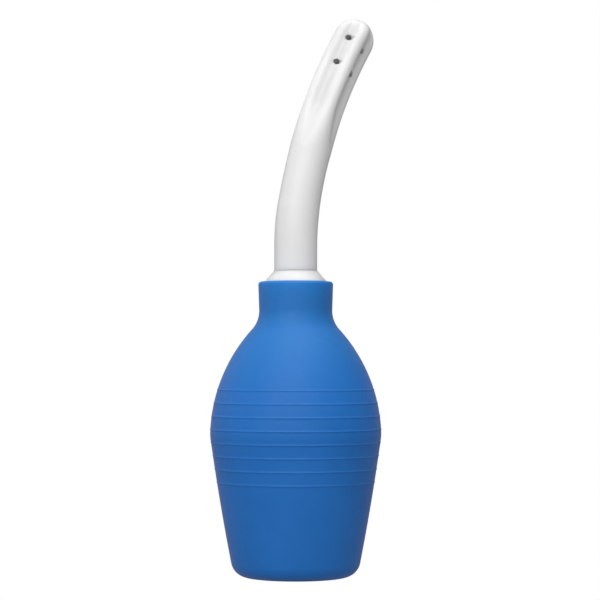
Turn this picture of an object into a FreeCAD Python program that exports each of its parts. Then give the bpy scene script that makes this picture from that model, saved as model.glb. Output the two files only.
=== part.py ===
"""Squeeze-bulb irrigator: a soft hollow bulb, a barbed neck insert, a screw-on curved nozzle and its seal.

Frame: millimetres, +Z up, origin at the centre of the bulb's flat base. The nozzle bends towards +X
in the XZ plane. Every size is a cell of the sheet "dims"; sketches and features are bound to it.
"""
import FreeCAD, Part
import math
import os

import Sketcher

PARTS_FOLDER = "parts"
ORIGIN_POINT = (-1, 1)
X_AXIS_LINE = -1
Y_AXIS_LINE = -2
COINCIDENT = 1e-9

DRIVING_SIZES = {
    # bulb, outside
    "crease_radius": 40.0,
    "crease_height": 65.7,
    "corner_radius": 8.0,
    "flank_arc_radius": 1075.0,
    "flank_arc_height": 213.2,
    "shoulder_arc_radius": 75.5,
    "shoulder_arc_height": 64.7,
    "neck_blend_radius": 13.0,
    "neck_radius": 17.1,
    "rim_radius": 17.5,
    "rim_height": 137.7,
    "rim_round": 1.4,
    # bulb, inside
    "wall": 3.0,
    "neck_wall": 3.55,
    "rim_inner_round": 0.6,
    # grip rings round the widest part
    "ring_count": 8,
    "ring_spacing": 6.16,
    "ring_tube": 0.45,
    "ring_sink": 0.2,
    # neck insert
    "insert_radius": 13.5,
    "insert_foot": 121.0,
    "insert_chamfer": 0.8,
    "insert_top": 142.7,
    "flange_radius": 14.3,
    "flange_edge": 0.3,
    "cone_top_radius": 10.2,
    "barb_count": 3,
    "barb_spacing": 3.5,
    "barb_first_height": 127.5,
    "barb_depth": 0.6,
    "barb_length": 2.2,
    "socket_wall_radius": 9.4,
    "sleeve_inner_radius": 11.4,
    "sleeve_gap_top": 136.0,
    # screw joint
    "thread_pitch": 3.0,
    "thread_turns": 1.75,
    "thread_height": 135.0,
    "thread_core_radius": 7.1,
    "thread_crest_radius": 8.0,
    "thread_root_width": 1.6,
    "thread_crest_width": 0.7,
    "thread_clearance": 0.25,
    "groove_turns": 4,
    "spigot_foot": 131.0,
    "spigot_neck_clearance": 0.2,
    # seal washer
    "seal_thickness": 1.3,
    "seal_inner_radius": 8.1,
    "seal_outer_radius": 9.4,
    "seal_gap": 0.05,
    "seat_gap": 0.1,
    # nozzle
    "nozzle_radius": 10.05,
    "bore_radius": 5.6,
    "tip_bore_radius": 4.6,
    "bend_height": 154.0,
    "lower_bend_radius": 122.0,
    "bend_change_angle": 9.9,
    "upper_bend_radius": 240.0,
    "flute_start_angle": 15.9,
    "flute_full_angle": 21.3,
    "run_out_steps": 4,
    "round_joint_angle": 42.0,
    "dome_angle": 29.65,
    "flute_bottom_radius": 6.0,
    "flute_radius": 3.56,
    # spray holes
    "hole_radius": 1.45,
    "hole_spacing_angle": 3.1,
    "outer_hole_offset": 3.8,
    "outer_hole_angle": 29.3,
    "inner_hole_offset": 4.6,
    "inner_hole_angle": 28.75,
    # how far a section runs into the solid it joins, and past the solid it cuts
    "join_depth": 0.3,
    "cut_margin": 2.0,
}

doc = FreeCAD.newDocument("squeeze_bulb_irrigator")
dims = doc.addObject("Spreadsheet::Sheet", "dims")


def fill_sheet():
    """Write one row per driving size: its name, and its value under that name as alias."""
    for row, (name, value) in enumerate(DRIVING_SIZES.items(), start=1):
        dims.set(f"A{row}", name)
        dims.set(f"B{row}", str(value))
        dims.setAlias(f"B{row}", name)
    doc.recompute()


def size(expression):
    """The present value of an expression over the sheet, in millimetres or degrees."""
    return float(dims.evalExpression(str(expression)))


def new_body(label):
    body = doc.addObject("PartDesign::Body", label)
    body.Label = label
    return body


def origin_plane(body, role):
    return next(item for item in body.Origin.OriginFeatures if item.Role == role)


def new_sketch(body, name, role="XZ_Plane"):
    """A sketch on one of the body's own origin planes; on XZ_Plane its y direction is +Z."""
    sketch = body.newObject("Sketcher::SketchObject", name)
    sketch.AttachmentSupport = [(origin_plane(body, role), "")]
    sketch.MapMode = "FlatFace"
    return sketch


def bind(feature, **expressions):
    for path, expression in expressions.items():
        feature.setExpression(path, str(expression))


def constrain(sketch, kind, expression, *where):
    """Add a dimension whose value follows the expression; a negative one is measured backwards."""
    value = size(expression)
    if value < 0:
        where = where[2:] + where[:2]
        expression = f"-({expression})"
    index = sketch.addConstraint(Sketcher.Constraint(kind, *where, abs(value)))
    sketch.setExpression(f"Constraints[{index}]", expression)


def place_point(sketch, side, end, x, y):
    """Hold one end of a side at (x, y) from the sketch's origin."""
    for kind, expression, axis_line in (("DistanceX", x, Y_AXIS_LINE), ("DistanceY", y, X_AXIS_LINE)):
        if abs(size(expression)) < COINCIDENT:
            sketch.addConstraint(Sketcher.Constraint("PointOnObject", side, end, axis_line))
        else:
            constrain(sketch, kind, expression, *ORIGIN_POINT, side, end)


def arc_between(start, end, radius):
    """The shorter arc from start to end, anticlockwise, so that its centre lies left of the way."""
    way = end - start
    left = FreeCAD.Vector(-way.y, way.x, 0).normalize()
    half = way.Length / 2
    drop = math.sqrt(max(radius**2 - half**2, 0.0))
    middle = (start + end) * 0.5 - left * (radius - drop)
    return Part.Arc(start, middle, end)


def closed_outline(sketch, corners):
    """Draw a closed outline. A corner is (x, y), or where an arc leads to it (x, y, radius, side).

    The side, left or right, is where the arc's centre lies on the way to the corner. A sketch's arcs
    run anticlockwise, so one with its centre on the right is drawn backwards.
    """
    points = [FreeCAD.Vector(size(corner[0]), size(corner[1]), 0) for corner in corners]
    ends = []
    for number, corner in enumerate(corners):
        start, end = points[number - 1], points[number]
        if len(corner) == 2:
            side = sketch.addGeometry(Part.LineSegment(start, end))
            ends.append((side, 1, 2))
            continue
        if corner[3] == "left":
            side = sketch.addGeometry(arc_between(start, end, size(corner[2])))
            ends.append((side, 1, 2))
        else:
            side = sketch.addGeometry(arc_between(end, start, size(corner[2])))
            ends.append((side, 2, 1))
    for number in range(len(corners)):
        side, _, side_end = ends[number - 1]
        next_side, next_start, _ = ends[number]
        sketch.addConstraint(Sketcher.Constraint("Coincident", side, side_end, next_side, next_start))
    for (side, _, side_end), corner in zip(ends, corners):
        place_point(sketch, side, side_end, corner[0], corner[1])
        if len(corner) == 4:
            constrain(sketch, "Radius", corner[2], side)


def circle(sketch, radius, x="0", y="0"):
    centre = FreeCAD.Vector(size(x), size(y), 0)
    side = sketch.addGeometry(Part.Circle(centre, FreeCAD.Vector(0, 0, 1), size(radius)))
    place_point(sketch, side, 3, x, y)
    constrain(sketch, "Radius", radius, side)


def turned(body, kind, name, sketch, angle=360, axis="V_Axis"):
    """A Revolution or Groove of a sketch about one of its own axes or construction lines."""
    feature = body.newObject(f"PartDesign::{kind}", name)
    feature.Profile = sketch
    feature.ReferenceAxis = (sketch, [axis])
    feature.setExpression("Angle", str(angle))
    feature.Refine = False
    doc.recompute()
    return feature


def repeat_upwards(body, feature, name, count, spacing):
    """Repeat a feature along the body's Z axis."""
    pattern = body.newObject("PartDesign::LinearPattern", name)
    pattern.Originals = [feature]
    pattern.Direction = (next(item for item in body.Origin.OriginFeatures if item.Role == "Z_Axis"), [""])
    pattern.Mode = "Spacing"
    bind(pattern, Occurrences=count, Offset=spacing)
    body.Tip = pattern
    doc.recompute()
    return pattern


# ---------------------------------------------------------------- bulb

FLANK_CENTRE_R = (
    "(dims.crease_radius - sqrt(dims.flank_arc_radius^2 - (dims.flank_arc_height - dims.crease_height)^2))"
)
SHOULDER_CENTRE_R = (
    "(dims.crease_radius - sqrt(dims.shoulder_arc_radius^2"
    " - (dims.crease_height - dims.shoulder_arc_height)^2))"
)
CORNER_CENTRE_R = (
    f"({FLANK_CENTRE_R} + sqrt((dims.flank_arc_radius - dims.corner_radius)^2"
    " - (dims.flank_arc_height - dims.corner_radius)^2))"
)


def bulb_skin(inset, neck_radius):
    """Corners of the bulb's side, from the base's edge up to the neck, at a given inset.

    The corner, shoulder and neck arcs keep their centres and the flank keeps its curve, so a wall of
    almost even thickness lies between two skins; the neck's own radius is given.
    """
    blend = f"(dims.neck_blend_radius + dims.neck_radius - {neck_radius})"
    corner = f"(dims.corner_radius - {inset})"
    flank = f"(dims.flank_arc_radius - {inset})"
    shoulder = f"(dims.shoulder_arc_radius - {inset})"
    corner_share = f"({flank} / (dims.flank_arc_radius - dims.corner_radius))"
    flank_foot_r = f"({FLANK_CENTRE_R} + ({CORNER_CENTRE_R} - {FLANK_CENTRE_R}) * {corner_share})"
    flank_foot_z = (
        f"(dims.flank_arc_height - (dims.flank_arc_height - dims.corner_radius) * {corner_share})"
    )
    neck_centre_r = f"({neck_radius} + {blend})"
    reach = f"({shoulder} + {blend})"
    neck_centre_rise = f"sqrt({reach}^2 - ({neck_centre_r} - {SHOULDER_CENTRE_R})^2)"
    share = f"({shoulder} / {reach})"
    return [
        (CORNER_CENTRE_R, inset),
        (flank_foot_r, flank_foot_z, corner, "left"),
        (f"dims.crease_radius - {inset}", "dims.crease_height", flank, "left"),
        (
            f"{SHOULDER_CENTRE_R} + ({neck_centre_r} - {SHOULDER_CENTRE_R}) * {share}",
            f"dims.shoulder_arc_height + {neck_centre_rise} * {share}",
            shoulder,
            "left",
        ),
        (neck_radius, f"dims.shoulder_arc_height + {neck_centre_rise}", blend, "right"),
    ]


def skin_radius(height):
    """Expression for the bulb's outside radius at a height on its flank or shoulder."""
    if size(height) < size("dims.crease_height"):
        return f"{FLANK_CENTRE_R} + sqrt(dims.flank_arc_radius^2 - (dims.flank_arc_height - {height})^2)"
    return (
        f"{SHOULDER_CENTRE_R} + sqrt(dims.shoulder_arc_radius^2 - ({height} - dims.shoulder_arc_height)^2)"
    )


def barb_corners(radius):
    """One barb: a ramp that widens upwards and a flat catch on top, on a wall of given radius."""
    foot = "dims.barb_first_height"
    root = f"({radius} - dims.join_depth)"
    return [
        (root, foot),
        (radius, foot),
        (f"{radius} + dims.barb_depth", f"{foot} + dims.barb_length"),
        (root, f"{foot} + dims.barb_length"),
    ]


def build_bulb():
    body = new_body("bulb")
    outside = new_sketch(body, "bulb_outside")
    closed_outline(
        outside,
        [("0", "0")]
        + bulb_skin("0", "dims.neck_radius")
        + [
            ("dims.rim_radius", "dims.rim_height - dims.rim_round"),
            ("dims.rim_radius - dims.rim_round", "dims.rim_height", "dims.rim_round", "left"),
            ("0", "dims.rim_height"),
        ],
    )
    turned(body, "Revolution", "bulb_solid", outside)

    bore = "(dims.neck_radius - dims.neck_wall)"
    cavity = new_sketch(body, "bulb_cavity")
    closed_outline(
        cavity,
        [("0", "dims.wall")]
        + bulb_skin("dims.wall", bore)
        + [
            (bore, "dims.rim_height - dims.rim_inner_round"),
            (f"{bore} + dims.rim_inner_round", "dims.rim_height", "dims.rim_inner_round", "right"),
            (f"{bore} + dims.rim_inner_round", "dims.rim_height + dims.cut_margin"),
            ("0", "dims.rim_height + dims.cut_margin"),
        ],
    )
    turned(body, "Groove", "bulb_hollow", cavity)

    barb_seat = new_sketch(body, "barb_seat")
    closed_outline(barb_seat, barb_corners(bore))
    seat = turned(body, "Groove", "barb_seat_cut", barb_seat)
    repeat_upwards(body, seat, "barb_seats", "dims.barb_count", "dims.barb_spacing")

    ring_count = int(size("dims.ring_count"))
    for number in range(ring_count):
        steps_from_crease = number - (ring_count - 1) / 2
        height = f"(dims.crease_height + {steps_from_crease} * dims.ring_spacing)"
        ring = body.newObject("PartDesign::AdditiveTorus", f"grip_ring_{number + 1}")
        bind(ring, Radius1=f"{skin_radius(height)} - dims.ring_sink", Radius2="dims.ring_tube")
        ring.setExpression("Placement.Base.z", height)
    doc.recompute()
    return body


# ---------------------------------------------------------------- neck insert

def thread_profile(sketch, height, clearance):
    """A trapezoid ridge, or with a clearance the groove round it, at the start of the helix."""
    root = f"(dims.thread_core_radius - dims.join_depth + {clearance})"
    crest = f"(dims.thread_crest_radius + {clearance})"
    half_root = f"(dims.thread_root_width / 2 + {clearance})"
    half_crest = f"(dims.thread_crest_width / 2 + {clearance})"
    closed_outline(
        sketch,
        [
            (root, f"{height} - {half_root}"),
            (crest, f"{height} - {half_crest}"),
            (crest, f"{height} + {half_crest}"),
            (root, f"{height} + {half_root}"),
        ],
    )


def wind(body, kind, name, sketch, rise):
    """A right-handed ridge or groove that climbs about the Z axis with the thread's pitch."""
    feature = body.newObject(f"PartDesign::{kind}", name)
    feature.Profile = sketch
    feature.ReferenceAxis = (sketch, ["V_Axis"])
    feature.Mode = "pitch-height-angle"
    bind(feature, Pitch="dims.thread_pitch", Height=rise)
    doc.recompute()
    return feature


def build_neck_insert():
    body = new_body("neck_insert")
    core = "(dims.thread_core_radius + dims.thread_clearance)"
    section = new_sketch(body, "insert_section")
    closed_outline(
        section,
        [
            (core, "dims.insert_foot"),
            ("dims.socket_wall_radius", "dims.insert_foot"),
            ("dims.socket_wall_radius", "dims.sleeve_gap_top"),
            ("dims.sleeve_inner_radius", "dims.sleeve_gap_top"),
            ("dims.sleeve_inner_radius", "dims.insert_foot"),
            ("dims.insert_radius - dims.insert_chamfer", "dims.insert_foot"),
            ("dims.insert_radius", "dims.insert_foot + dims.insert_chamfer"),
            ("dims.insert_radius", "dims.rim_height"),
            ("dims.flange_radius", "dims.rim_height"),
            ("dims.flange_radius", "dims.rim_height + dims.flange_edge"),
            ("dims.cone_top_radius", "dims.insert_top"),
            ("dims.seal_outer_radius + dims.seat_gap", "dims.insert_top"),
            ("dims.seal_outer_radius + dims.seat_gap", "dims.insert_top - dims.seal_thickness"),
            (core, "dims.insert_top - dims.seal_thickness"),
        ],
    )
    turned(body, "Revolution", "insert_solid", section)

    barb = new_sketch(body, "barb")
    closed_outline(barb, barb_corners("dims.insert_radius"))
    ridge = turned(body, "Revolution", "barb_ridge", barb)
    repeat_upwards(body, ridge, "barbs", "dims.barb_count", "dims.barb_spacing")

    groove_start = "(dims.thread_height - dims.thread_pitch)"
    groove = new_sketch(body, "thread_groove")
    thread_profile(groove, groove_start, "dims.thread_clearance")
    wind(body, "SubtractiveHelix", "inner_thread", groove, "dims.groove_turns * dims.thread_pitch")
    return body


# ---------------------------------------------------------------- seal washer

def build_seal_washer():
    body = new_body("seal_washer")
    low = "(dims.insert_top - dims.seal_thickness + dims.seal_gap)"
    section = new_sketch(body, "washer_section")
    closed_outline(
        section,
        [
            ("dims.seal_inner_radius", low),
            ("dims.seal_outer_radius", low),
            ("dims.seal_outer_radius", f"{low} + dims.seal_thickness"),
            ("dims.seal_inner_radius", f"{low} + dims.seal_thickness"),
        ],
    )
    turned(body, "Revolution", "washer_ring", section)
    return body


# ---------------------------------------------------------------- nozzle

# The centreline rises straight, bends tightly up to the angle where the bend changes, then more
# gently to the end. The upper bend's centre lies on the lower one's last radius, carried on.
BEND_STEP = "(dims.upper_bend_radius - dims.lower_bend_radius)"
UPPER_CENTRE_X = f"(dims.lower_bend_radius + {BEND_STEP} * cos(dims.bend_change_angle))"
UPPER_CENTRE_Z = f"(dims.bend_height - {BEND_STEP} * sin(dims.bend_change_angle))"


def bend_point(angle, offset="0"):
    """Expressions for x and z on the upper bend at an angle, some distance outside its centreline."""
    reach = f"(dims.upper_bend_radius + {offset})"
    return f"{UPPER_CENTRE_X} - {reach} * cos({angle})", f"{UPPER_CENTRE_Z} + {reach} * sin({angle})"


def stand_on_bend(sketch, angle):
    """Tilt a sketch of the XY plane to stand square on the centreline of the upper bend."""
    sketch.AttachmentOffset = FreeCAD.Placement(
        FreeCAD.Vector(), FreeCAD.Rotation(FreeCAD.Vector(0, 1, 0), size(angle))
    )
    x, z = bend_point(angle)
    sketch.setExpression("AttachmentOffset.Base.x", x)
    sketch.setExpression("AttachmentOffset.Base.z", z)
    sketch.setExpression("AttachmentOffset.Rotation.Angle", angle)


def bend_axis(sketch, bend_radius):
    """A construction line through the centre of a bend, parallel to Y, to turn a section about."""
    start = FreeCAD.Vector(size(bend_radius), 0, 0)
    end = FreeCAD.Vector(size(bend_radius), size("dims.nozzle_radius"), 0)
    side = sketch.addGeometry(Part.LineSegment(start, end), True)
    place_point(sketch, side, 1, bend_radius, "0")
    place_point(sketch, side, 2, bend_radius, "dims.nozzle_radius")


def bend_round(body, kind, names, radius):
    """Turn a circle round the lower bend, then on round the upper one to where the flutes start."""
    low = upright_sketch(body, f"{names}_lower_section", "dims.bend_height")
    circle(low, radius)
    bend_axis(low, "dims.lower_bend_radius")
    turned(body, kind, f"{names}_lower_bend", low, "dims.bend_change_angle", "Axis0")
    high = new_sketch(body, f"{names}_upper_section", "XY_Plane")
    stand_on_bend(high, "dims.bend_change_angle")
    circle(high, radius)
    bend_axis(high, "dims.upper_bend_radius")
    sweep = "dims.flute_start_angle - dims.bend_change_angle"
    turned(body, kind, f"{names}_upper_bend", high, sweep, "Axis0")


def fluted_outline(sketch, near, far, lobe, flute, flute_centre_side):
    """Four lobes on the axes and four flutes on the diagonals, joined at (near, far) and its mirrors."""
    joints = [(near, f"-{far}"), (near, far), (far, near), (f"-{far}", near)]
    joints += [(f"-{near}", far), (f"-{near}", f"-{far}"), (f"-{far}", f"-{near}"), (far, f"-{near}")]
    corners = []
    for number, (x, y) in enumerate(joints):
        if number % 2 == 1:
            corners.append((x, y, lobe, "left"))
        else:
            corners.append((x, y, flute, flute_centre_side))
    closed_outline(sketch, corners)


def fluted_section(sketch, bottom):
    """A section whose flute bottoms lie at a given radius, with every lobe and flute tangent."""
    centre = f"({bottom} + dims.flute_radius)"
    lobe = (
        f"((dims.nozzle_radius^2 - sqrt(2) * dims.nozzle_radius * {centre} + {centre}^2"
        f" - dims.flute_radius^2)"
        f" / (2 * dims.nozzle_radius + 2 * dims.flute_radius - sqrt(2) * {centre}))"
    )
    reach = f"(dims.nozzle_radius - {lobe})"
    near = f"({reach} + {lobe} * ({centre} / sqrt(2) - {reach}) / ({lobe} + dims.flute_radius))"
    far = f"({lobe} * {centre} / sqrt(2) / ({lobe} + dims.flute_radius))"
    fluted_outline(sketch, near, far, lobe, "dims.flute_radius", "right")


def round_section(sketch):
    """The full round section, cut into the same eight stretches as a fluted one."""
    near = "(dims.nozzle_radius * cos(dims.round_joint_angle))"
    far = "(dims.nozzle_radius * sin(dims.round_joint_angle))"
    fluted_outline(sketch, near, far, "dims.nozzle_radius", "dims.nozzle_radius", "left")


def upright_sketch(body, name, height):
    sketch = new_sketch(body, name, "XY_Plane")
    sketch.setExpression("AttachmentOffset.Base.z", height)
    return sketch


def extrude(body, kind, name, sketch, length):
    feature = body.newObject(f"PartDesign::{kind}", name)
    feature.Profile = sketch
    feature.setExpression("Length", length)
    doc.recompute()
    return feature


def loft(body, kind, name, sketches):
    feature = body.newObject(f"PartDesign::{kind}", name)
    feature.Profile = sketches[0]
    feature.Sections = sketches[1:]
    doc.recompute()
    return feature


def build_nozzle():
    body = new_body("nozzle")
    shoulder = "(dims.insert_top + dims.seat_gap)"
    build_nozzle_tube(body, shoulder)
    build_nozzle_spigot(body, shoulder)
    build_nozzle_bore(body)
    build_spray_holes(body)
    return body


def build_nozzle_tube(body, shoulder):
    """The straight foot, the round bends, the flutes' run-out, the fluted bend and the dome."""
    foot = upright_sketch(body, "foot_section", shoulder)
    circle(foot, "dims.nozzle_radius")
    extrude(body, "Pad", "foot", foot, f"dims.bend_height - {shoulder}")

    bend_round(body, "Revolution", "tube", "dims.nozzle_radius")

    start = new_sketch(body, "flute_start", "XY_Plane")
    stand_on_bend(start, "dims.flute_start_angle")
    round_section(start)
    run_out = [start]
    steps = int(size("dims.run_out_steps"))
    for step in range(1, steps + 1):
        share = f"{step} / {steps}"
        station = new_sketch(body, f"flute_station_{step}", "XY_Plane")
        stand_on_bend(
            station,
            f"(dims.flute_start_angle + (dims.flute_full_angle - dims.flute_start_angle) * {share})",
        )
        fluted_section(
            station,
            f"(dims.nozzle_radius - (dims.nozzle_radius - dims.flute_bottom_radius) * {share})",
        )
        run_out.append(station)
    loft(body, "AdditiveLoft", "flute_run_out", run_out)

    fluted = new_sketch(body, "fluted_bend_section", "XY_Plane")
    stand_on_bend(fluted, "dims.flute_full_angle")
    fluted_section(fluted, "dims.flute_bottom_radius")
    bend_axis(fluted, "dims.upper_bend_radius")
    turned(body, "Revolution", "fluted_bend", fluted, "dims.dome_angle - dims.flute_full_angle", "Axis0")

    tip = new_sketch(body, "tip_section", "XY_Plane")
    stand_on_bend(tip, "dims.dome_angle")
    fluted_section(tip, "dims.flute_bottom_radius")
    extrude(body, "Pad", "tip", tip, "dims.nozzle_radius")
    trim_dome(body)


def trim_dome(body):
    """Turn away what lies outside a half ball at the end of the nozzle."""
    trim = new_sketch(body, "dome_trim")
    trim.AttachmentOffset = FreeCAD.Placement(
        FreeCAD.Vector(), FreeCAD.Rotation(FreeCAD.Vector(0, 0, 1), -size("dims.dome_angle"))
    )
    x, z = bend_point("dims.dome_angle")
    trim.setExpression("AttachmentOffset.Base.x", x)
    trim.setExpression("AttachmentOffset.Base.y", z)
    trim.setExpression("AttachmentOffset.Rotation.Angle", "-dims.dome_angle")
    closed_outline(
        trim,
        [
            ("0", "dims.nozzle_radius"),
            ("dims.nozzle_radius", "0", "dims.nozzle_radius", "right"),
            ("dims.nozzle_radius + dims.cut_margin", "0"),
            ("dims.nozzle_radius + dims.cut_margin", "dims.nozzle_radius + dims.cut_margin"),
            ("0", "dims.nozzle_radius + dims.cut_margin"),
        ],
    )
    turned(body, "Groove", "dome", trim)


def build_nozzle_spigot(body, shoulder):
    """The threaded spigot under the shoulder: a neck inside the washer, a core and one ridge."""
    neck_foot = "(dims.insert_top - dims.seal_thickness + dims.spigot_neck_clearance)"
    neck = upright_sketch(body, "spigot_neck_section", neck_foot)
    circle(neck, "dims.thread_crest_radius")
    extrude(body, "Pad", "spigot_neck", neck, f"{shoulder} - {neck_foot}")
    core = upright_sketch(body, "spigot_core_section", "dims.spigot_foot")
    circle(core, "dims.thread_core_radius")
    extrude(body, "Pad", "spigot_core", core, f"{neck_foot} - dims.spigot_foot")
    ridge = new_sketch(body, "thread_ridge")
    thread_profile(ridge, "dims.thread_height", "0")
    wind(body, "AdditiveHelix", "outer_thread", ridge, "dims.thread_turns * dims.thread_pitch")


def build_nozzle_bore(body):
    """The passage: straight, round the bends, narrowing behind the run-out, and blind in the dome."""
    straight = upright_sketch(body, "bore_section", "dims.bend_height")
    circle(straight, "dims.bore_radius")
    extrude(body, "Pocket", "straight_bore", straight, "dims.bend_height - dims.spigot_foot")

    bend_round(body, "Groove", "bore", "dims.bore_radius")

    wide = new_sketch(body, "taper_wide", "XY_Plane")
    stand_on_bend(wide, "dims.flute_start_angle")
    circle(wide, "dims.bore_radius")
    middle = new_sketch(body, "taper_middle", "XY_Plane")
    stand_on_bend(middle, "(dims.flute_start_angle + dims.flute_full_angle) / 2")
    circle(middle, "(dims.bore_radius + dims.tip_bore_radius) / 2")
    narrow = new_sketch(body, "taper_narrow", "XY_Plane")
    stand_on_bend(narrow, "dims.flute_full_angle")
    circle(narrow, "dims.tip_bore_radius")
    loft(body, "SubtractiveLoft", "bore_taper", [wide, middle, narrow])

    tip = new_sketch(body, "tip_bore_section", "XY_Plane")
    stand_on_bend(tip, "dims.flute_full_angle")
    circle(tip, "dims.tip_bore_radius")
    bend_axis(tip, "dims.upper_bend_radius")
    turned(body, "Groove", "tip_bore", tip, "dims.dome_angle - dims.flute_full_angle", "Axis0")
    end = body.newObject("PartDesign::SubtractiveSphere", "bore_end")
    bind(end, Radius="dims.tip_bore_radius")
    x, z = bend_point("dims.dome_angle")
    end.setExpression("Placement.Base.x", x)
    end.setExpression("Placement.Base.z", z)
    doc.recompute()


def build_spray_holes(body):
    """Two holes in every flute, drilled straight through along Y on both sides of the bend."""
    holes = new_sketch(body, "spray_holes")
    for offset, first_angle in (("dims.outer_hole_offset", "dims.outer_hole_angle"),
                                ("-dims.inner_hole_offset", "dims.inner_hole_angle")):
        for row in range(2):
            x, z = bend_point(f"({first_angle} - {row} * dims.hole_spacing_angle)", offset)
            circle(holes, "dims.hole_radius", x, z)
    cut = body.newObject("PartDesign::Pocket", "spray_hole_cut")
    cut.Profile = holes
    cut.Type = "ThroughAll"
    cut.Midplane = True
    doc.recompute()


# ---------------------------------------------------------------- checks and export

def check_document():
    for item in doc.Objects:
        if "Invalid" in item.State or "Error" in item.State:
            raise RuntimeError(f"{item.Label} failed: {item.State}")


def export(bodies):
    os.makedirs(PARTS_FOLDER, exist_ok=True)
    for body in bodies:
        shape = body.Shape
        if shape.isNull() or not shape.isValid() or len(shape.Solids) != 1:
            raise RuntimeError(f"{body.Label} is not one valid solid")
        shape.exportStep(os.path.join(PARTS_FOLDER, f"{body.Label}.step"))
        print(f"{body.Label}: {shape.Volume / 1000:.2f} ml, {len(shape.Faces)} faces")


fill_sheet()
finished = [build_bulb(), build_neck_insert(), build_seal_washer(), build_nozzle()]
doc.recompute()
check_document()
export(finished)
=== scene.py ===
"""A blue silicone squeeze bulb with a white neck insert and a curved, fluted, perforated nozzle.

Every shown piece is a mesh made here, closed and smooth, in the place of its CAD node. Shapes are
worked out in millimetres in the row's frame and turned into metres when a mesh is made.
"""
import math

import bmesh
import bpy
import numpy as np
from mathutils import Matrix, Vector


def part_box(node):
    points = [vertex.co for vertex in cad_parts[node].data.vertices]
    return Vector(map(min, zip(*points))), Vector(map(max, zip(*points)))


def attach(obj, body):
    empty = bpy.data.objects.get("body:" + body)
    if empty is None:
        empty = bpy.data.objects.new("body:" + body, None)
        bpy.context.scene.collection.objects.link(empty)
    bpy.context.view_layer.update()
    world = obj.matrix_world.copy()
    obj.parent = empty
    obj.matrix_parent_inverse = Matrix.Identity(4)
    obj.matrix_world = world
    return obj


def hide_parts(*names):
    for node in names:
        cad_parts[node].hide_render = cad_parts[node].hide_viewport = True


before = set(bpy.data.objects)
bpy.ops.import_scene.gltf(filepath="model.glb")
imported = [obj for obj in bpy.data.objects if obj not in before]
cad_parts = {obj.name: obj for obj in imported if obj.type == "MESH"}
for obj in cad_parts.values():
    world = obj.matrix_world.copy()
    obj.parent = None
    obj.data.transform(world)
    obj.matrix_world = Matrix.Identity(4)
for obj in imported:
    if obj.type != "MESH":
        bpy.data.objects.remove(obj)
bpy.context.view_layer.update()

MILLIMETRE = 0.001
TURN = 2 * math.pi


def foot_of(node):
    """A CAD node's lowest height, in millimetres, to the nearest micrometre."""
    return round(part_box(node)[0].z / MILLIMETRE, 3)


def top_of(node):
    """A CAD node's highest height, in millimetres, to the nearest micrometre."""
    return round(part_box(node)[1].z / MILLIMETRE, 3)


# Heights that the frame gives, in millimetres.
RIM_HEIGHT = top_of("bulb")
INSERT_FOOT = foot_of("neck_insert")
INSERT_TOP = top_of("neck_insert")
SEAL_FOOT = foot_of("seal_washer")
SEAL_TOP = top_of("seal_washer")
SPIGOT_FOOT = foot_of("nozzle")

# Driving sizes, in millimetres. Angles are in radians.

# bulb
CREASE_RADIUS = 40.0
CREASE_HEIGHT = 65.7
CREASE_SOFTNESS = 0.3
CORNER_RADIUS = 8.0
FLANK_ARC_RADIUS = 1075.0
FLANK_ARC_HEIGHT = 213.2
SHOULDER_ARC_RADIUS = 75.5
SHOULDER_ARC_HEIGHT = 64.7
NECK_BLEND_RADIUS = 13.0
NECK_RADIUS = 17.1
RIM_RADIUS = 17.5
RIM_ROUND = 1.4
WALL = 3.0
NECK_BORE = 13.55
RIM_INNER_ROUND = 0.6

# grip rings
RING_COUNT = 8
RING_SPACING = 6.16
RING_PROUD = 0.18
RING_HALF_WIDTH = 0.42

# neck insert
INSERT_RADIUS = 13.5
INSERT_CHAMFER = 0.8
FLANGE_RADIUS = 14.3
FLANGE_EDGE = 0.3
CONE_TOP_RADIUS = 10.2
BARB_COUNT = 3
BARB_SPACING = 3.5
BARB_FIRST_HEIGHT = 127.5
BARB_DEPTH = 0.6
BARB_LENGTH = 2.2
SOCKET_WALL_RADIUS = 9.4
SLEEVE_INNER_RADIUS = 11.4
SLEEVE_GAP_TOP = 136.0

# screw thread
THREAD_PITCH = 3.0
THREAD_TURNS = 1.75
THREAD_HEIGHT = 135.0
THREAD_CORE = 7.1
THREAD_CREST = 8.0
THREAD_ROOT_WIDTH = 1.6
THREAD_CREST_WIDTH = 0.7
THREAD_CLEARANCE = 0.25
THREAD_END_TURNS = 1 / 12
GROOVE_TURNS = 4

# seal washer
SEAL_THICKNESS = SEAL_TOP - SEAL_FOOT
SEAL_INNER_RADIUS = 8.1
SEAL_OUTER_RADIUS = 9.4
SEAL_ROUND = 0.25
SEAT_GAP = 0.1
SEAT_HEIGHT = INSERT_TOP - SEAL_THICKNESS

# nozzle; a bend angle says how far the tube has turned from upright
NOZZLE_RADIUS = 10.05
SHOULDER_HEIGHT = INSERT_TOP + SEAT_GAP
SPIGOT_NECK_CLEARANCE = 0.2
SPIGOT_NECK_FOOT = SEAT_HEIGHT + SPIGOT_NECK_CLEARANCE
BORE_RADIUS = 5.6
TIP_BORE_RADIUS = 4.6
BEND_HEIGHT = 154.0
LOWER_BEND_RADIUS = 122.0
UPPER_BEND_RADIUS = 240.0
BEND_CHANGE = math.radians(9.9)
FLUTE_START = math.radians(15.9)
FLUTE_FULL = math.radians(21.3)
DOME_ANGLE = math.radians(29.65)
FLUTE_BOTTOM = 6.0
FLUTE_RADIUS = 3.56
WAIST_DEPTH = 0.36
WAIST_FOOT = math.radians(5)
WAIST_MIDDLE = math.radians(14.3)
WAIST_TOP = math.radians(18)

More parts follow.
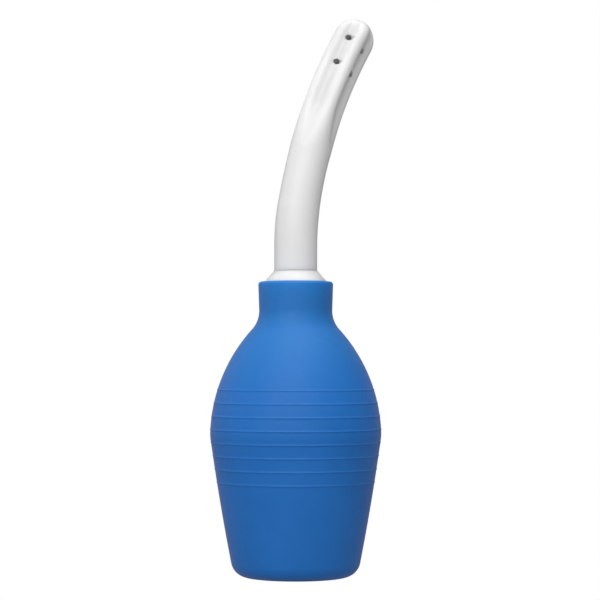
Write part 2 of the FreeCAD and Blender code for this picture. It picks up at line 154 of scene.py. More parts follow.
# spray holes
HOLE_RADIUS = 1.45
HOLE_SPACING = math.radians(3.1)
OUTER_HOLE_OFFSET = 4.1
OUTER_HOLE = math.radians(29.3)
INNER_HOLE_OFFSET = 4.6
INNER_HOLE = math.radians(28.85)

# How finely the meshes are drawn: points round a ring, and lengths in millimetres.
COLUMNS = 192
HOLE_COLUMNS = 64
DOME_RINGS = 36
BORE_END_RINGS = 12
POINTS_PER_GRIP_RING = 11
SIDE_STEP = 0.8
THREAD_STEP = 0.15
CORNER_STEPS = 5
FLUTE_STEP = 0.6
RUN_OUT_STEP = 0.4
TUBE_STEP = 0.8
BORE_STEP = 1.6

# Lengths too small to matter: a radius that counts as none, in millimetres, and points that are
# welded together, in metres. A corner whose sides make a larger half angle is left straight.
ON_AXIS = 1e-6
WELD_DISTANCE = 1e-7
NEARLY_STRAIGHT = math.radians(89)


# ---------------------------------------------------------------- mesh tools

def sweep_rings(name, rings, closed=False):
    """A mesh through rings of points, in millimetres. A ring of one point closes the end there."""
    points = []
    starts = []
    for ring in rings:
        starts.append(len(points))
        points.extend(np.asarray(ring, float).reshape(-1, 3) * MILLIMETRE)
    faces = []
    pairs = list(zip(range(len(rings)), range(1, len(rings))))
    if closed:
        pairs.append((len(rings) - 1, 0))
    for low, high in pairs:
        faces.extend(band_faces(starts[low], len(rings[low]), starts[high], len(rings[high])))
    mesh = bpy.data.meshes.new(name)
    mesh.from_pydata([tuple(point) for point in points], [], faces)
    mesh.update()
    piece = bpy.data.objects.new(name, mesh)
    bpy.context.scene.collection.objects.link(piece)
    return piece


def band_faces(low, low_count, high, high_count):
    """Faces between two rings, anticlockwise seen from outside when the rings run anticlockwise."""
    count = max(low_count, high_count)
    faces = []
    for column in range(count):
        following = (column + 1) % count
        if low_count == 1:
            faces.append((low, high + following, high + column))
        elif high_count == 1:
            faces.append((low + column, low + following, high))
        else:
            faces.append((low + column, low + following, high + following, high + column))
    return faces


def finish_mesh(piece, sharp_degrees=38):
    """Face outwards, shade smooth, and keep edges crisp where the surface really turns."""
    work = bmesh.new()
    work.from_mesh(piece.data)
    bmesh.ops.remove_doubles(work, verts=work.verts, dist=WELD_DISTANCE)
    bmesh.ops.recalc_face_normals(work, faces=work.faces)
    limit = math.radians(sharp_degrees)
    for edge in work.edges:
        edge.smooth = edge.calc_face_angle(0.0) < limit
    for face in work.faces:
        face.smooth = True
    work.to_mesh(piece.data)
    work.free()


def angles(count=COLUMNS):
    return np.arange(count) * TURN / count


def ring_about_z(radius, height, count=COLUMNS):
    """A level ring about the Z axis. The radius may differ from column to column."""
    turn = angles(count)
    radii = np.broadcast_to(radius, turn.shape)
    return np.stack([radii * np.cos(turn), radii * np.sin(turn), np.full(count, height)], axis=1)


def turned_rings(profile, count=COLUMNS):
    """Rings for a profile of (radius, height) points; a point on the axis becomes a single point."""
    return [
        np.array([[0.0, 0.0, height]]) if radius < ON_AXIS else ring_about_z(radius, height, count)
        for radius, height in profile
    ]


def arc(centre, radius, start, end, step=0.5):
    """Points (radius, height) on an arc between two directions, in degrees, about step mm apart."""
    length = abs(math.radians(end - start)) * radius
    count = max(int(length / step), 2)
    way = np.radians(np.linspace(start, end, count + 1))
    return [(centre[0] + radius * math.cos(a), centre[1] + radius * math.sin(a)) for a in way]


def line(start, end, step=1.5):
    """Points from start to end, both included."""
    count = max(int(math.dist(start, end) / step), 1)
    return [tuple(point) for point in np.linspace(start, end, count + 1)]


def rounded_path(corners, step=1.2):
    """Points along straight sides through corners of (radius, height, rounding)."""
    path = [tuple(corners[0][:2])]
    for before, corner, after in zip(corners, corners[1:], corners[2:]):
        here, rounding = np.array(corner[:2]), corner[2]
        back = np.array(before[:2]) - here
        ahead = np.array(after[:2]) - here
        back /= np.linalg.norm(back)
        ahead /= np.linalg.norm(ahead)
        half = math.acos(np.clip(np.dot(back, ahead), -1, 1)) / 2
        if rounding == 0 or half > NEARLY_STRAIGHT:
            path.extend(line(path[-1], tuple(here), step)[1:])
            continue
        reach = rounding / math.tan(half)
        middle = here + (back + ahead) / np.linalg.norm(back + ahead) * rounding / math.sin(half)
        path.extend(line(path[-1], tuple(here + back * reach), step)[1:])
        first = here + back * reach - middle
        last = here + ahead * reach - middle
        for share in np.linspace(0, 1, CORNER_STEPS + 1)[1:]:
            way = first * (1 - share) + last * share
            path.append(tuple(middle + way / np.linalg.norm(way) * rounding))
    path.extend(line(path[-1], tuple(corners[-1][:2]), step)[1:])
    return path


def soft_min(a, b, reach):
    """The smaller of two values, blended where they are nearer than reach."""
    near = np.maximum(reach - np.abs(a - b), 0)
    return np.minimum(a, b) - near * near / np.maximum(4 * reach, 1e-9)


def mark_edges(piece):
    """Store how convex the surface is at every point: 0 on flats and in hollows, up to 1 on edges."""
    work = bmesh.new()
    work.from_mesh(piece.data)
    wear = []
    for point in work.verts:
        away = [(edge.other_vert(point).co - point.co).normalized() for edge in point.link_edges]
        wear.append(max(-sum(way.dot(point.normal) for way in away) / max(len(away), 1), 0.0))
    work.free()
    values = piece.data.attributes.new("edge_wear", "FLOAT", "POINT")
    values.data.foreach_set("value", wear)


def show(piece, body, node, material):
    """Dress a finished piece and let it stand for its CAD node."""
    mark_edges(piece)
    piece.data.materials.append(material)
    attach(piece, body)
    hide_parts(node)


# ---------------------------------------------------------------- bulb

FLANK_CENTRE_R = CREASE_RADIUS - math.sqrt(FLANK_ARC_RADIUS**2 - (FLANK_ARC_HEIGHT - CREASE_HEIGHT) ** 2)
SHOULDER_CENTRE_R = CREASE_RADIUS - math.sqrt(
    SHOULDER_ARC_RADIUS**2 - (CREASE_HEIGHT - SHOULDER_ARC_HEIGHT) ** 2
)
CORNER_CENTRE_R = FLANK_CENTRE_R + math.sqrt(
    (FLANK_ARC_RADIUS - CORNER_RADIUS) ** 2 - (FLANK_ARC_HEIGHT - CORNER_RADIUS) ** 2
)
CORNER_END = math.degrees(math.atan2(CORNER_RADIUS - FLANK_ARC_HEIGHT, CORNER_CENTRE_R - FLANK_CENTRE_R))


def ring_heights():
    """Heights of the grip rings, spaced evenly about the crease."""
    return CREASE_HEIGHT + (np.arange(RING_COUNT) - (RING_COUNT - 1) / 2) * RING_SPACING


def side_radius(height, inset=0.0):
    """Radius of the bulb's flank and shoulder at a height, with a soft crease between them."""
    flank = FLANK_CENTRE_R + np.sqrt((FLANK_ARC_RADIUS - inset) ** 2 - (FLANK_ARC_HEIGHT - height) ** 2)
    rise = np.maximum(height - SHOULDER_ARC_HEIGHT, 0)
    shoulder = SHOULDER_CENTRE_R + np.sqrt((SHOULDER_ARC_RADIUS - inset) ** 2 - rise**2)
    return soft_min(flank, shoulder, CREASE_SOFTNESS)


def grip_lift(height):
    """How far the fine grip rings stand proud of the skin at a height."""
    lift = np.zeros_like(height)
    for centre in ring_heights():
        across = np.clip(1 - ((height - centre) / RING_HALF_WIDTH) ** 2, 0, 1)
        lift += RING_PROUD * across**1.5
    return lift


def side_heights(low, high, with_rings):
    """Heights to sample the side at: over every ring and the crease, with even steps in between."""
    beside_crease = 4 * CREASE_SOFTNESS
    fixed = [low, CREASE_HEIGHT - beside_crease, CREASE_HEIGHT, CREASE_HEIGHT + beside_crease, high]
    if with_rings:
        for centre in ring_heights():
            fixed.extend(centre + np.linspace(-1, 1, POINTS_PER_GRIP_RING) * RING_HALF_WIDTH)
    fixed = np.sort(fixed)
    heights = [fixed[:1]]
    for start, end in zip(fixed, fixed[1:]):
        steps = max(round((end - start) / SIDE_STEP), 1)
        heights.append(np.linspace(start, end, steps + 1)[1:])
    return np.concatenate(heights)


def neck_blend(neck_radius, inset):
    """Centre, radius and lower direction of the arc that leads the shoulder into the neck."""
    radius = NECK_BLEND_RADIUS + NECK_RADIUS - neck_radius
    centre_r = neck_radius + radius
    reach = SHOULDER_ARC_RADIUS - inset + radius
    rise = math.sqrt(reach**2 - (centre_r - SHOULDER_CENTRE_R) ** 2)
    direction = 180 + math.degrees(math.atan2(rise, centre_r - SHOULDER_CENTRE_R))
    return (centre_r, SHOULDER_ARC_HEIGHT + rise), radius, direction


def bulb_side(neck_radius, inset, with_rings):
    """The side's profile from the base's corner up to the foot of the neck."""
    centre, radius, direction = neck_blend(neck_radius, inset)
    corner = arc((CORNER_CENTRE_R, CORNER_RADIUS), CORNER_RADIUS - inset, -90, CORNER_END)
    blend = arc(centre, radius, direction, 180)
    heights = side_heights(corner[-1][1], blend[0][1], with_rings)
    radii = side_radius(heights, inset)
    if with_rings:
        radii = radii + grip_lift(heights)
    middle = list(zip(radii, heights))
    return corner[:-1] + middle + blend[1:]


def barb_path(radius):
    """The barbs' ramps and catches on a wall of given radius, from the lowest up."""
    path = []
    for number in range(BARB_COUNT):
        foot = BARB_FIRST_HEIGHT + number * BARB_SPACING
        path += [(radius, foot), (radius + BARB_DEPTH, foot + BARB_LENGTH), (radius, foot + BARB_LENGTH)]
    return path


def build_bulb():
    """The outside from the middle of the base up over the rim, then the inside back down."""
    outside = bulb_side(NECK_RADIUS, 0.0, True)
    neck_side = line(outside[-1], (RIM_RADIUS, RIM_HEIGHT - RIM_ROUND))
    rim = arc((RIM_RADIUS - RIM_ROUND, RIM_HEIGHT - RIM_ROUND), RIM_ROUND, 0, 90, 0.2)
    rim_inside = arc(
        (NECK_BORE + RIM_INNER_ROUND, RIM_HEIGHT - RIM_INNER_ROUND), RIM_INNER_ROUND, 90, 180, 0.15
    )
    inside = bulb_side(NECK_BORE, WALL, False)
    profile = line((0.0, 0.0), (CORNER_CENTRE_R, 0.0), 3.0)[:-1]
    profile += outside + neck_side[1:] + rim + rim_inside
    profile += barb_path(NECK_BORE)[::-1] + inside[::-1]
    profile += line((CORNER_CENTRE_R, WALL), (0.0, WALL), 3.0)[1:]
    piece = sweep_rings("squeeze_bulb", turned_rings(profile))
    finish_mesh(piece)
    return piece


# ---------------------------------------------------------------- screw thread

def thread_height(turn, height, first_turn, last_turn, foot, half_root, half_crest):
    """How fully a helical ridge stands, 0 to 1, at every column's direction at one height."""
    standing = np.zeros_like(turn)
    for lap in range(-2, GROOVE_TURNS + 2):
        turns = turn / TURN + lap
        off = np.abs(height - foot - THREAD_PITCH * turns)
        shape = np.clip((half_root - off) / (half_root - half_crest), 0, 1)
        start = np.clip((turns - first_turn) / THREAD_END_TURNS, 0, 1)
        finish = np.clip((last_turn - turns) / THREAD_END_TURNS, 0, 1)
        standing = np.maximum(standing, shape * start * finish)
    return standing


def thread_rows(low, high):
    """Heights to draw a thread at, close enough to show its slopes."""
    return np.linspace(low, high, int((high - low) / THREAD_STEP) + 1)


# ---------------------------------------------------------------- neck insert and seal washer

def insert_groove_rings():
    """The socket's bore from the washer's seat down past the foot of the thread's groove."""
    foot = THREAD_HEIGHT - THREAD_PITCH
    half_root = THREAD_ROOT_WIDTH / 2 + THREAD_CLEARANCE
    half_crest = THREAD_CREST_WIDTH / 2 + THREAD_CLEARANCE
    rings = []
    for height in thread_rows(foot - half_root, SEAT_HEIGHT)[::-1]:
        groove = thread_height(angles(), height, 0, GROOVE_TURNS, foot, half_root, half_crest)
        radius = THREAD_CORE + THREAD_CLEARANCE + (THREAD_CREST - THREAD_CORE) * groove
        rings.append(ring_about_z(radius, height))
    return rings


def build_neck_insert():
    """A barbed sleeve with a conical top, the washer's seat and the threaded socket inside it."""
    core = THREAD_CORE + THREAD_CLEARANCE
    seat_radius = SEAL_OUTER_RADIUS + SEAT_GAP
    outside = rounded_path(
        [
            (SLEEVE_INNER_RADIUS, INSERT_FOOT, 0),
            (INSERT_RADIUS - INSERT_CHAMFER, INSERT_FOOT, 0.2),
            (INSERT_RADIUS, INSERT_FOOT + INSERT_CHAMFER, 0.2),
            (INSERT_RADIUS, BARB_FIRST_HEIGHT, 0),
        ]
    )
    top = rounded_path(
        [
            (INSERT_RADIUS, RIM_HEIGHT, 0),
            (FLANGE_RADIUS, RIM_HEIGHT, 0.06),
            (FLANGE_RADIUS, RIM_HEIGHT + FLANGE_EDGE, 0.3),
            (CONE_TOP_RADIUS, INSERT_TOP, 0.08),
            (seat_radius, INSERT_TOP, 0.12),
            (seat_radius, SEAT_HEIGHT, 0),
            (core, SEAT_HEIGHT, 0),
        ],
        0.6,
    )
    foot = rounded_path(
        [
            (core, INSERT_FOOT, 0),
            (SOCKET_WALL_RADIUS, INSERT_FOOT, 0.3),
            (SOCKET_WALL_RADIUS, SLEEVE_GAP_TOP, 0.3),
            (SLEEVE_INNER_RADIUS, SLEEVE_GAP_TOP, 0.3),
            (SLEEVE_INNER_RADIUS, INSERT_FOOT, 0),
        ]
    )
    rings = turned_rings(outside + barb_path(INSERT_RADIUS)[1:] + top[:-1])
    rings += insert_groove_rings()
    rings += turned_rings(foot[:-1])
    piece = sweep_rings("barbed_insert", rings, closed=True)
    finish_mesh(piece, sharp_degrees=30)
    return piece


def build_seal_washer():
    """A flat ring with rounded edges, which lies in the insert's seat."""
    middle = (SEAL_INNER_RADIUS + SEAL_OUTER_RADIUS) / 2
    section = rounded_path(
        [
            (middle, SEAL_FOOT, 0),
            (SEAL_OUTER_RADIUS, SEAL_FOOT, SEAL_ROUND),
            (SEAL_OUTER_RADIUS, SEAL_TOP, SEAL_ROUND),
            (SEAL_INNER_RADIUS, SEAL_TOP, SEAL_ROUND),
            (SEAL_INNER_RADIUS, SEAL_FOOT, SEAL_ROUND),
            (middle, SEAL_FOOT, 0),
        ],
        0.5,
    )
    piece = sweep_rings("seal_ring", turned_rings(section[:-1]), closed=True)
    finish_mesh(piece)
    return piece


# ---------------------------------------------------------------- nozzle

def section_radius(bottom):
    """Radius of the four-lobed section at every column; its diagonal flutes reach in to bottom."""
    reach = bottom + FLUTE_RADIUS
    root2 = math.sqrt(2)
    lobe = (NOZZLE_RADIUS**2 - root2 * NOZZLE_RADIUS * reach + reach**2 - FLUTE_RADIUS**2) / (
        2 * NOZZLE_RADIUS + 2 * FLUTE_RADIUS - root2 * reach
    )
    lobe_centre = NOZZLE_RADIUS - lobe
    flute_centre = reach / root2
    share = lobe / (lobe + FLUTE_RADIUS)
    joint = math.atan2(flute_centre * share, lobe_centre + (flute_centre - lobe_centre) * share)
    quarter = TURN / 4
    from_lobe = np.abs((angles() + quarter / 2) % quarter - quarter / 2)
    from_flute = quarter / 2 - from_lobe
    on_lobe = lobe_centre * np.cos(from_lobe) + np.sqrt(
        np.maximum(lobe**2 - (lobe_centre * np.sin(from_lobe)) ** 2, 0)
    )
    in_flute = reach * np.cos(from_flute) - np.sqrt(
        np.maximum(FLUTE_RADIUS**2 - (reach * np.sin(from_flute)) ** 2, 0)
    )
    return np.where(from_lobe < joint, on_lobe, in_flute)


def bend_point(bend, outside=0.0):
    """A point at a bend angle, some distance outside the centreline: a tight bend, then a gentle one."""
    tight = min(bend, BEND_CHANGE)
    x = LOWER_BEND_RADIUS * (1 - math.cos(tight)) + UPPER_BEND_RADIUS * (math.cos(tight) - math.cos(bend))
    rise = LOWER_BEND_RADIUS * math.sin(tight) + UPPER_BEND_RADIUS * (math.sin(bend) - math.sin(tight))
    return np.array([x - outside * math.cos(bend), 0, BEND_HEIGHT + rise + outside * math.sin(bend)])


def nozzle_ring(bend, radii, beyond=0.0):
    """A ring square to the centreline at a bend angle, or straight on beyond it by some distance."""
    turn = angles()
    radii = np.broadcast_to(radii, turn.shape)
    along = np.array([math.sin(bend), 0, math.cos(bend)])
    across = np.array([math.cos(bend), 0, -math.sin(bend)])
    sideways = np.array([0.0, 1.0, 0.0])
    return (
        bend_point(bend)
        + beyond * along
        + np.outer(radii * np.cos(turn), across)
        + np.outer(radii * np.sin(turn), sideways)
    )


def bend_stations(start, end, step):
    """Bend angles from start to end, a given length of centreline apart."""
    radius = LOWER_BEND_RADIUS if max(start, end) <= BEND_CHANGE else UPPER_BEND_RADIUS
    count = max(int(abs(end - start) * radius / step), 1)
    return np.linspace(start, end, count + 1)


def waist(bend):
    """Share of the full radius left at a bend angle: the tube is slightly slimmer below its flutes."""
    end = WAIST_FOOT if bend < WAIST_MIDDLE else WAIST_TOP
    share = max((bend - end) / (WAIST_MIDDLE - end), 0)
    return 1 - WAIST_DEPTH / NOZZLE_RADIUS * math.sin(share * TURN / 4) ** 2


def dome_rings():
    """From the apex down: the lobes close like a half ball while the flutes between them run out."""
    fluted_share = section_radius(FLUTE_BOTTOM) / NOZZLE_RADIUS
    rings = [nozzle_ring(DOME_ANGLE, 0.0, NOZZLE_RADIUS)[:1]]
    for rise in np.radians(np.linspace(90, 0, DOME_RINGS + 1))[1:]:
        ball = NOZZLE_RADIUS * math.cos(rise)
        depth_left = math.cos(rise) ** 2
        radii = ball * (1 - (1 - fluted_share) * depth_left)
        rings.append(nozzle_ring(DOME_ANGLE, radii, NOZZLE_RADIUS * math.sin(rise)))
    return rings


def tube_rings():
    """From the dome's foot down to the shoulder: fluted, running out, round and bent, straight."""
    rings = []
    for bend in bend_stations(DOME_ANGLE, FLUTE_FULL, FLUTE_STEP)[1:]:
        rings.append(nozzle_ring(bend, section_radius(FLUTE_BOTTOM)))
    for bend in bend_stations(FLUTE_FULL, FLUTE_START, RUN_OUT_STEP)[1:]:
        share = (bend - FLUTE_START) / (FLUTE_FULL - FLUTE_START)
        bottom = NOZZLE_RADIUS - (NOZZLE_RADIUS - FLUTE_BOTTOM) * share
        rings.append(nozzle_ring(bend, section_radius(bottom) * waist(bend)))
    for start, end in ((FLUTE_START, BEND_CHANGE), (BEND_CHANGE, 0)):
        for bend in bend_stations(start, end, TUBE_STEP)[1:]:
            rings.append(nozzle_ring(bend, NOZZLE_RADIUS * waist(bend)))
    return rings


def spigot_rings():
    """The straight foot, the shoulder that closes on the washer, and the threaded spigot below it."""
    shoulder = rounded_path(
        [
            (NOZZLE_RADIUS, BEND_HEIGHT, 0),
            (NOZZLE_RADIUS, SHOULDER_HEIGHT, 0.1),
            (THREAD_CREST, SHOULDER_HEIGHT, 0.1),
            (THREAD_CREST, SPIGOT_NECK_FOOT, 0.1),
            (THREAD_CORE, SPIGOT_NECK_FOOT, 0),
        ],
        0.8,
    )
    rings = turned_rings(shoulder[1:])
    half_root = THREAD_ROOT_WIDTH / 2
    half_crest = THREAD_CREST_WIDTH / 2
    for height in thread_rows(THREAD_HEIGHT - half_root, SPIGOT_NECK_FOOT)[::-1][1:]:
        ridge = thread_height(angles(), height, 0, THREAD_TURNS, THREAD_HEIGHT, half_root, half_crest)
        rings.append(ring_about_z(THREAD_CORE + (THREAD_CREST - THREAD_CORE) * ridge, height))
    foot = rounded_path(
        [
            (THREAD_CORE, THREAD_HEIGHT - half_root, 0),
            (THREAD_CORE, SPIGOT_FOOT, 0.3),
            (BORE_RADIUS, SPIGOT_FOOT, 0.2),
            (BORE_RADIUS, BEND_HEIGHT, 0),
        ]
    )
    return rings + turned_rings(foot[1:])


def bore_rings():
    """The passage from the bend's start up to its blind round end in the dome."""
    rings = []
    for start, end in ((0, BEND_CHANGE), (BEND_CHANGE, FLUTE_START)):
        rings += [nozzle_ring(bend, BORE_RADIUS) for bend in bend_stations(start, end, BORE_STEP)[1:]]
    for bend in bend_stations(FLUTE_START, FLUTE_FULL, BORE_STEP)[1:]:
        share = (bend - FLUTE_START) / (FLUTE_FULL - FLUTE_START)
        rings.append(nozzle_ring(bend, BORE_RADIUS + (TIP_BORE_RADIUS - BORE_RADIUS) * share))
    for bend in bend_stations(FLUTE_FULL, DOME_ANGLE, BORE_STEP)[1:]:
        rings.append(nozzle_ring(bend, TIP_BORE_RADIUS))
    for rise in np.radians(np.linspace(0, 90, BORE_END_RINGS + 1))[1:-1]:
        rings.append(
            nozzle_ring(DOME_ANGLE, TIP_BORE_RADIUS * math.cos(rise), TIP_BORE_RADIUS * math.sin(rise))
        )
    rings.append(nozzle_ring(DOME_ANGLE, 0.0, TIP_BORE_RADIUS)[:1])
    return rings


def spray_drill(centre):
    """A closed round bar along Y through a point, longer than the nozzle is thick."""
    turn = angles(HOLE_COLUMNS)
    reach = 1.5 * NOZZLE_RADIUS
    rings = []
    for side in (-reach, reach):
        x = centre[0] + HOLE_RADIUS * np.sin(turn)
        z = centre[2] + HOLE_RADIUS * np.cos(turn)
        rings.append(np.stack([x, np.full(HOLE_COLUMNS, side), z], axis=1))
    first_end = [(centre[0], -reach, centre[2])]
    last_end = [(centre[0], reach, centre[2])]
    drill = sweep_rings("drill", [first_end, *rings, last_end])
    finish_mesh(drill)
    return drill


def drill_holes(piece):
    """Cut the four bores that run straight through along Y, each from one flute to another."""
    for offset, first in ((OUTER_HOLE_OFFSET, OUTER_HOLE), (-INNER_HOLE_OFFSET, INNER_HOLE)):
        for row in range(2):
            drill = spray_drill(bend_point(first - row * HOLE_SPACING, offset))
            cut = piece.modifiers.new("hole", "BOOLEAN")
            cut.object = drill
            cut.operation = "DIFFERENCE"
            cut.solver = "EXACT"
            bake_modifiers(piece)
            bpy.data.objects.remove(drill)


def bake_modifiers(piece):
    """Replace the piece's mesh by the one its modifiers give."""
    graph = bpy.context.evaluated_depsgraph_get()
    mesh = bpy.data.meshes.new_from_object(piece.evaluated_get(graph))
    piece.modifiers.clear()
    piece.data = mesh


def build_nozzle():
    """One closed skin: over the dome, down the tube and spigot, up the bore, then the spray holes."""
    rings = dome_rings() + tube_rings() + spigot_rings() + bore_rings()
    piece = sweep_rings("curved_nozzle", rings)
    finish_mesh(piece, sharp_degrees=32)
    drill_holes(piece)
    finish_mesh(piece, sharp_degrees=32)
    return piece


# ---------------------------------------------------------------- materials

# Heights between which a material changes, in millimetres: painted light on the bulb's shoulder and lip,
# painted shade at its standing edge and on the nozzle's tip.
BASE_PAINTED_SHADE = (0.0, 1.5)
SHOULDER_PAINTED_LIGHT = (85.0, 112.0)
LIP_PAINTED_LIGHT = (130.0, 137.5)
TIP_PAINTED_SHADE = (240.0, 260.0)


def new_material(name):
    """A material with its node tree and its surface shader."""
    material = bpy.data.materials.new(name)
    material.use_nodes = True
    tree = material.node_tree
    return material, tree, tree.nodes["Principled BSDF"]


def noise(tree, scale, detail=4.0, roughness=0.5):
    """A noise texture in the piece's own metres."""
    place = tree.nodes.new("ShaderNodeTexCoord")
    texture = tree.nodes.new("ShaderNodeTexNoise")
    texture.inputs["Scale"].default_value = scale
    texture.inputs["Detail"].default_value = detail
    texture.inputs["Roughness"].default_value = roughness
    tree.links.new(place.outputs["Object"], texture.inputs["Vector"])
    return texture.outputs["Fac"]


def spread(tree, source, low, high, from_low=0.3, from_high=0.7):
    """Map a value between two limits onto a range; beyond them it keeps the range's ends."""
    node = tree.nodes.new("ShaderNodeMapRange")
    node.inputs["From Min"].default_value = from_low
    node.inputs["From Max"].default_value = from_high
    node.inputs["To Min"].default_value = low
    node.inputs["To Max"].default_value = high
    tree.links.new(source, node.inputs["Value"])
    return node.outputs["Result"]


def mix_colours(tree, factor, first, second):
    """Blend two colours; each is a colour or an output."""
    node = tree.nodes.new("ShaderNodeMix")
    node.data_type = "RGBA"
    for socket, value in ((node.inputs[6], first), (node.inputs[7], second)):
        if isinstance(value, tuple):
            socket.default_value = (*value, 1.0)
        else:
            tree.links.new(value, socket)
    tree.links.new(factor, node.inputs[0])
    return node.outputs[2]


def bump(tree, height, strength, distance, normal=None):
    """A bump node; distance in metres. It may build on another bump's normal."""
    node = tree.nodes.new("ShaderNodeBump")
    node.inputs["Strength"].default_value = strength
    node.inputs["Distance"].default_value = distance
    tree.links.new(height, node.inputs["Height"])
    if normal is not None:
        tree.links.new(normal, node.inputs["Normal"])
    return node.outputs["Normal"]


def worn_edges(tree, low, high, most):
    """0 on flats, up to a given share on convex edges, from the stored edge wear."""
    wear = tree.nodes.new("ShaderNodeAttribute")
    wear.attribute_name = "edge_wear"
    return spread(tree, wear.outputs["Fac"], 0.0, most, low, high)


def height_share(tree, heights):
    """0 below the lower and 1 above the upper of two heights on the piece."""
    low, high = heights
    place = tree.nodes.new("ShaderNodeTexCoord")
    parts = tree.nodes.new("ShaderNodeSeparateXYZ")
    tree.links.new(place.outputs["Object"], parts.inputs[0])
    return spread(tree, parts.outputs["Z"], 0.0, 1.0, low * MILLIMETRE, high * MILLIMETRE)


def blue_silicone():
    """Matte satin silicone: faint clouding, an eggshell grain, and painted light that makes the upper
    part greener.

    Painted light makes the shoulder and the open lip paler, handled edges are paler, and painted shade
    darkens the standing edge.
    """
    material, tree, skin = new_material("blue_silicone")
    cloud = spread(tree, noise(tree, 38.0, 3.0), 0.0, 1.0, 0.35, 0.65)
    colour = mix_colours(tree, cloud, (0.006, 0.146, 0.507), (0.009, 0.157, 0.537))
    # painted light: the upward-facing shoulder is made paler and more cyan, as if lit from above
    colour = mix_colours(tree, height_share(tree, SHOULDER_PAINTED_LIGHT), colour, (0.012, 0.169, 0.520))
    # painted light: the open lip is made brighter and greener
    colour = mix_colours(tree, height_share(tree, LIP_PAINTED_LIGHT), colour, (0.010, 0.200, 0.620))
    colour = mix_colours(tree, worn_edges(tree, 0.03, 0.2, 0.3), colour, (0.075, 0.235, 0.58))
    # painted shade: the lowest 1.5 mm, where the bulb meets the floor, are darkened
    colour = mix_colours(tree, height_share(tree, BASE_PAINTED_SHADE), (0.003, 0.070, 0.25), colour)
    tree.links.new(colour, skin.inputs["Base Color"])
    tree.links.new(spread(tree, noise(tree, 420.0, 5.0), 0.54, 0.64), skin.inputs["Roughness"])
    skin.inputs["Specular IOR Level"].default_value = 0.36
    skin.inputs["Sheen Weight"].default_value = 0.17
    skin.inputs["Sheen Roughness"].default_value = 0.35
    skin.inputs["Sheen Tint"].default_value = (0.85, 0.55, 0.7, 1.0)
    skin.inputs["Subsurface Weight"].default_value = 0.04
    skin.inputs["Subsurface Radius"].default_value = (0.2, 0.5, 1.0)
    skin.inputs["Subsurface Scale"].default_value = 0.002
    broad = bump(tree, noise(tree, 160.0, 2.0), 0.25, 0.00012)
    grain = bump(tree, noise(tree, 3200.0, 3.0), 0.35, 0.00003, broad)
    tree.links.new(grain, skin.inputs["Normal"])
    return material


def white_plastic():
    """Moulded white polypropylene: semi-gloss, a trace of warmth, faint flow marks, and painted shade
    that greys the tip.
    """
    material, tree, skin = new_material("white_plastic")
    cloud = spread(tree, noise(tree, 55.0, 4.0), 0.0, 1.0, 0.3, 0.7)
    colour = mix_colours(tree, cloud, (0.79, 0.79, 0.787), (0.82, 0.82, 0.817))
    # painted shade: the nozzle's tip is greyed so that it catches less light
    colour = mix_colours(tree, height_share(tree, TIP_PAINTED_SHADE), colour, (0.725, 0.725, 0.723))
    tree.links.new(colour, skin.inputs["Base Color"])
    tree.links.new(spread(tree, noise(tree, 300.0, 6.0), 0.32, 0.42), skin.inputs["Roughness"])
    skin.inputs["Specular IOR Level"].default_value = 0.35
    skin.inputs["Subsurface Weight"].default_value = 0.7
    skin.inputs["Subsurface Radius"].default_value = (1.0, 0.97, 0.94)
    skin.inputs["Subsurface Scale"].default_value = 0.005
    broad = bump(tree, noise(tree, 90.0, 2.0), 0.2, 0.0001)
    grain = bump(tree, noise(tree, 2600.0, 2.0), 0.12, 0.00002, broad)
    tree.links.new(grain, skin.inputs["Normal"])
    return material


def clear_silicone():
    """Milky translucent silicone of the seal."""
    material, tree, skin = new_material("clear_silicone")
    cloud = spread(tree, noise(tree, 240.0, 3.0), 0.0, 1.0)
    colour = mix_colours(tree, cloud, (0.70, 0.71, 0.73), (0.78, 0.79, 0.81))
    tree.links.new(colour, skin.inputs["Base Color"])
    tree.links.new(spread(tree, noise(tree, 900.0, 4.0), 0.32, 0.45), skin.inputs["Roughness"])
    skin.inputs["Transmission Weight"].default_value = 0.35
    skin.inputs["IOR"].default_value = 1.41
    skin.inputs["Subsurface Weight"].default_value = 0.3
    skin.inputs["Subsurface Scale"].default_value = 0.001
    tree.links.new(bump(tree, noise(tree, 2200.0, 2.0), 0.2, 0.00002), skin.inputs["Normal"])
    return material


# ---------------------------------------------------------------- stage, light and camera

# Lengths in metres, apart from the lens and its sensor, which are in millimetres. The camera's turn
# is about +Z, from +X to the side that the camera stands on.
CAMERA_TURN = math.radians(-112.5)
CAMERA_DISTANCE = 1.029
CAMERA_HEIGHT = 0.1038
AIM_HEIGHT = 0.1291
AIM_ASIDE = 0.0020
LENS = 132.0
SENSOR_WIDTH = 36.0
FLOOR_HALF_WIDTH = 30.0
FLOOR_DROP = 0.0002
FLOOR_GLOW = 0.346
ROOM_LIGHT = 0.210
LIGHT_DISTANCE = 1.5
LIGHT_WIDTH = 1.0
STUDIO_LIGHTS = (
    # name, turn to the right of the camera and rise (degrees), power (W)
    ("overhead_box", 0, 88, 9.2),
    ("front_box_high", 0, 50, 4.5),
    ("front_box", 0, 25, 5.2),
    ("left_box", -30, 25, 7.3),
    ("right_box", 90, 70, 2.8),
    ("low_box", 30, 0, 2.5),
    ("side_box", -90, 0, 1.8),
    ("rim_box", -120, 25, 1.8),
)


def seen_only(tree, seen, unseen):
    """A shader that the camera sees as one and that lights the object as another."""
    path = tree.nodes.new("ShaderNodeLightPath")
    choice = tree.nodes.new("ShaderNodeMixShader")
    tree.links.new(path.outputs["Is Camera Ray"], choice.inputs[0])
    tree.links.new(unseen, choice.inputs[1])
    tree.links.new(seen, choice.inputs[2])
    return choice.outputs[0]


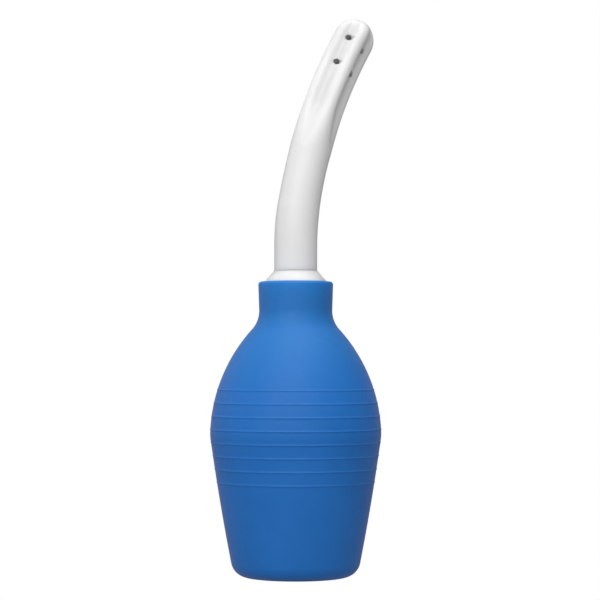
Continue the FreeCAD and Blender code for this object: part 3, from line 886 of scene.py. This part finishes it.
def build_floor():
    """A plain floor far wider than the view. It looks as white as the background and throws no glare."""
    mesh = bpy.data.meshes.new("floor")
    half = FLOOR_HALF_WIDTH
    corners = [(-half, -half, 0), (half, -half, 0), (half, half, 0), (-half, half, 0)]
    mesh.from_pydata(corners, [], [(0, 1, 2, 3)])
    floor = bpy.data.objects.new("floor", mesh)
    bpy.context.scene.collection.objects.link(floor)
    floor.location.z = -FLOOR_DROP
    material, tree, skin = new_material("pale_floor")
    skin.inputs["Base Color"].default_value = (0.0, 0.0, 0.0, 1.0)
    skin.inputs["Roughness"].default_value = 1.0
    skin.inputs["Specular IOR Level"].default_value = 0.0
    skin.inputs["Emission Color"].default_value = (1.0, 1.0, 1.0, 1.0)
    skin.inputs["Emission Strength"].default_value = FLOOR_GLOW
    white = tree.nodes.new("ShaderNodeEmission")
    white.inputs["Color"].default_value = (1.0, 1.0, 1.0, 1.0)
    shown = seen_only(tree, white.outputs[0], skin.outputs[0])
    tree.links.new(shown, tree.nodes["Material Output"].inputs["Surface"])
    floor.data.materials.append(material)


def soft_light(name, turn, rise, power):
    """A square soft box, turned to the right of the camera and raised, that faces the object."""
    side = CAMERA_TURN + turn
    towards = Vector((math.cos(side) * math.cos(rise), math.sin(side) * math.cos(rise), math.sin(rise)))
    light = bpy.data.lights.new(name, "AREA")
    light.shape = "SQUARE"
    light.size = LIGHT_WIDTH
    light.energy = power
    lamp = bpy.data.objects.new(name, light)
    bpy.context.scene.collection.objects.link(lamp)
    lamp.location = towards * LIGHT_DISTANCE + Vector((0, 0, AIM_HEIGHT))
    lamp.rotation_euler = (-towards).to_track_quat("-Z", "Y").to_euler()
    lamp.visible_camera = False


def build_light():
    """A white background round a dim studio, and soft lights."""
    world = bpy.data.worlds.new("studio")
    world.use_nodes = True
    tree = world.node_tree
    room = tree.nodes["Background"]
    room.inputs["Color"].default_value = (1.0, 1.0, 1.0, 1.0)
    room.inputs["Strength"].default_value = ROOM_LIGHT
    white = tree.nodes.new("ShaderNodeBackground")
    white.inputs["Color"].default_value = (1.0, 1.0, 1.0, 1.0)
    shown = seen_only(tree, white.outputs[0], room.outputs[0])
    tree.links.new(shown, tree.nodes["World Output"].inputs["Surface"])
    bpy.context.scene.world = world
    for name, turn, rise, power in STUDIO_LIGHTS:
        soft_light(name, math.radians(turn), math.radians(rise), power)


def build_camera():
    """A long lens that stands a little below the object's middle and is aimed at it."""
    lens = bpy.data.cameras.new("camera")
    lens.lens = LENS
    lens.sensor_width = SENSOR_WIDTH
    camera = bpy.data.objects.new("camera", lens)
    bpy.context.scene.collection.objects.link(camera)
    towards = Vector((math.cos(CAMERA_TURN), math.sin(CAMERA_TURN), 0))
    rightwards = Vector((-towards.y, towards.x, 0))
    camera.location = towards * CAMERA_DISTANCE + Vector((0, 0, CAMERA_HEIGHT))
    aim = rightwards * AIM_ASIDE + Vector((0, 0, AIM_HEIGHT))
    camera.rotation_euler = (aim - camera.location).to_track_quat("-Z", "Y").to_euler()
    bpy.context.scene.camera = camera


# ---------------------------------------------------------------- put together

BLUE = blue_silicone()
WHITE = white_plastic()
CLEAR = clear_silicone()
show(build_bulb(), "bulb_body", "bulb", BLUE)
show(build_neck_insert(), "bulb_body", "neck_insert", WHITE)
show(build_seal_washer(), "seal", "seal_washer", CLEAR)
show(build_nozzle(), "nozzle_body", "nozzle", WHITE)
build_floor()
build_light()
build_camera()
bpy.context.scene.view_settings.view_transform = "Standard"
